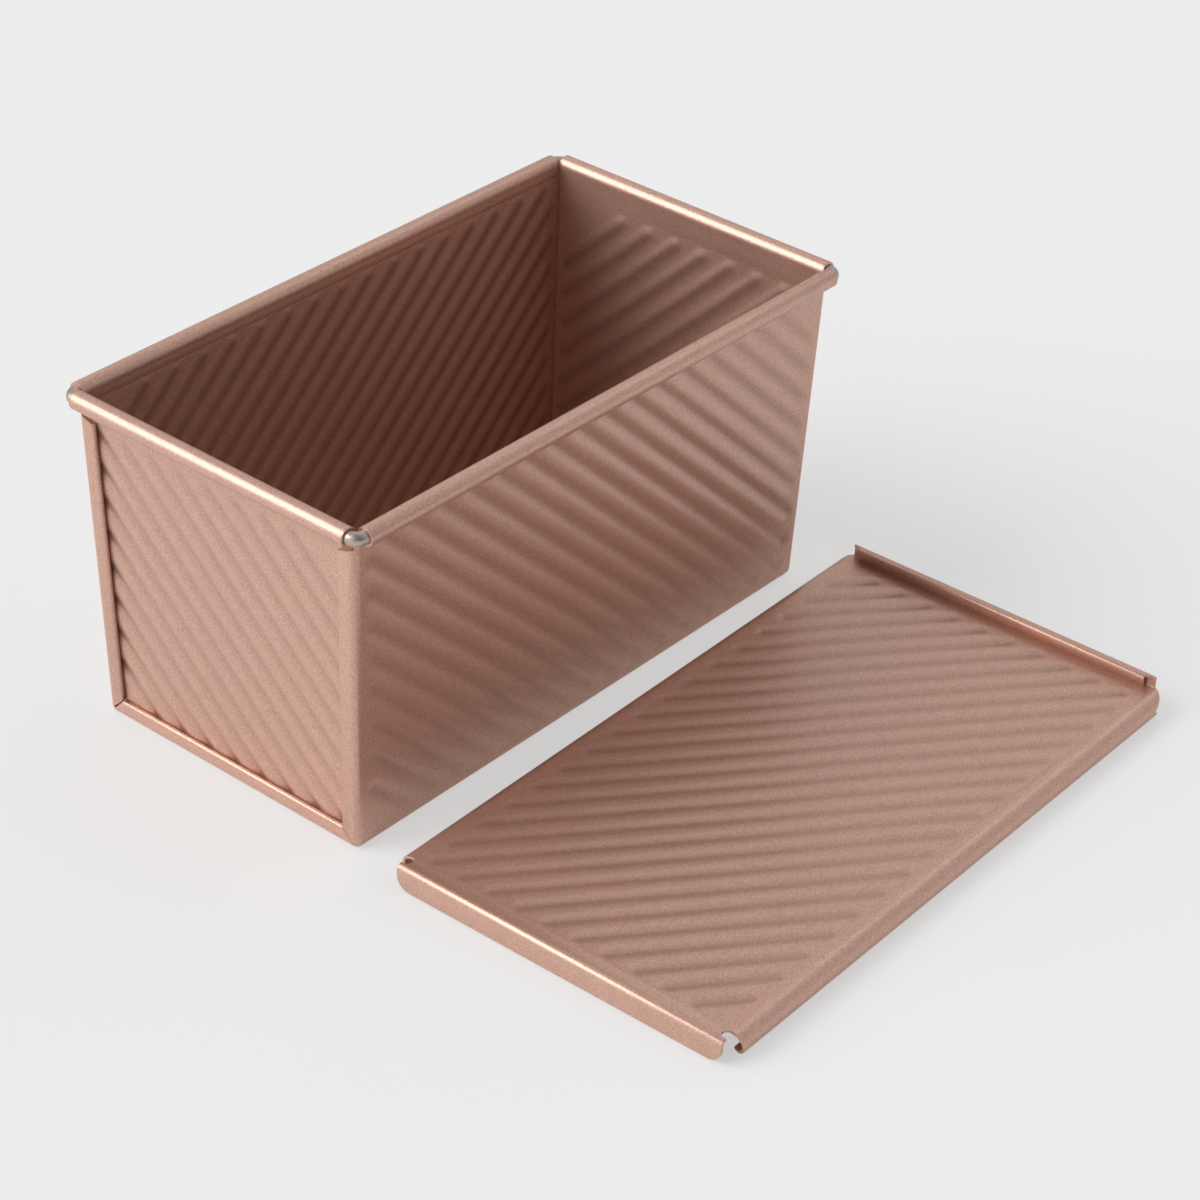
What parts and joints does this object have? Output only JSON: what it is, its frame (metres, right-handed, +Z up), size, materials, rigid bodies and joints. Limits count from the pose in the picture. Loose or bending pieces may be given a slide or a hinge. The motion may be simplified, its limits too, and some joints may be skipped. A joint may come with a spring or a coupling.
{
  "type": "pullman loaf pan",
  "caption": "Corrugated rectangular loaf pan with a wired rim and hemmed end panels, its grooved sliding lid taken off and lying beside it.",
  "frame": {"origin": "middle of the pan's flat underside, on the table", "axes": "+X along the pan's length towards its far end, +Y across the pan away from the lid, +Z up"},
  "size_m": [0.224, 0.2479, 0.1115],
  "materials": {
    "coated_trough": "champagne non-stick coating with a fine metallic speckle, semi-gloss",
    "coated_panel": "champagne non-stick coating with a fine metallic speckle, semi-gloss",
    "bare_wire": "drawn steel wire, satin",
    "coated_lid": "champagne non-stick coating with a fine metallic speckle, semi-gloss"
  },
  "bodies": {
    "pan": {"trough": "coated_trough", "left_end_panel": "coated_panel", "right_end_panel": "coated_panel", "rim_wire": "bare_wire"},
    "lid": {"sliding_lid": "coated_lid"}
  },
  "joints": [
    {"name": "lid_slide", "type": "slide", "parent": "pan", "child": "lid", "axis": [-0.9998, -0.0218, 0], "range_m": [0, 0.22]}
  ]
}
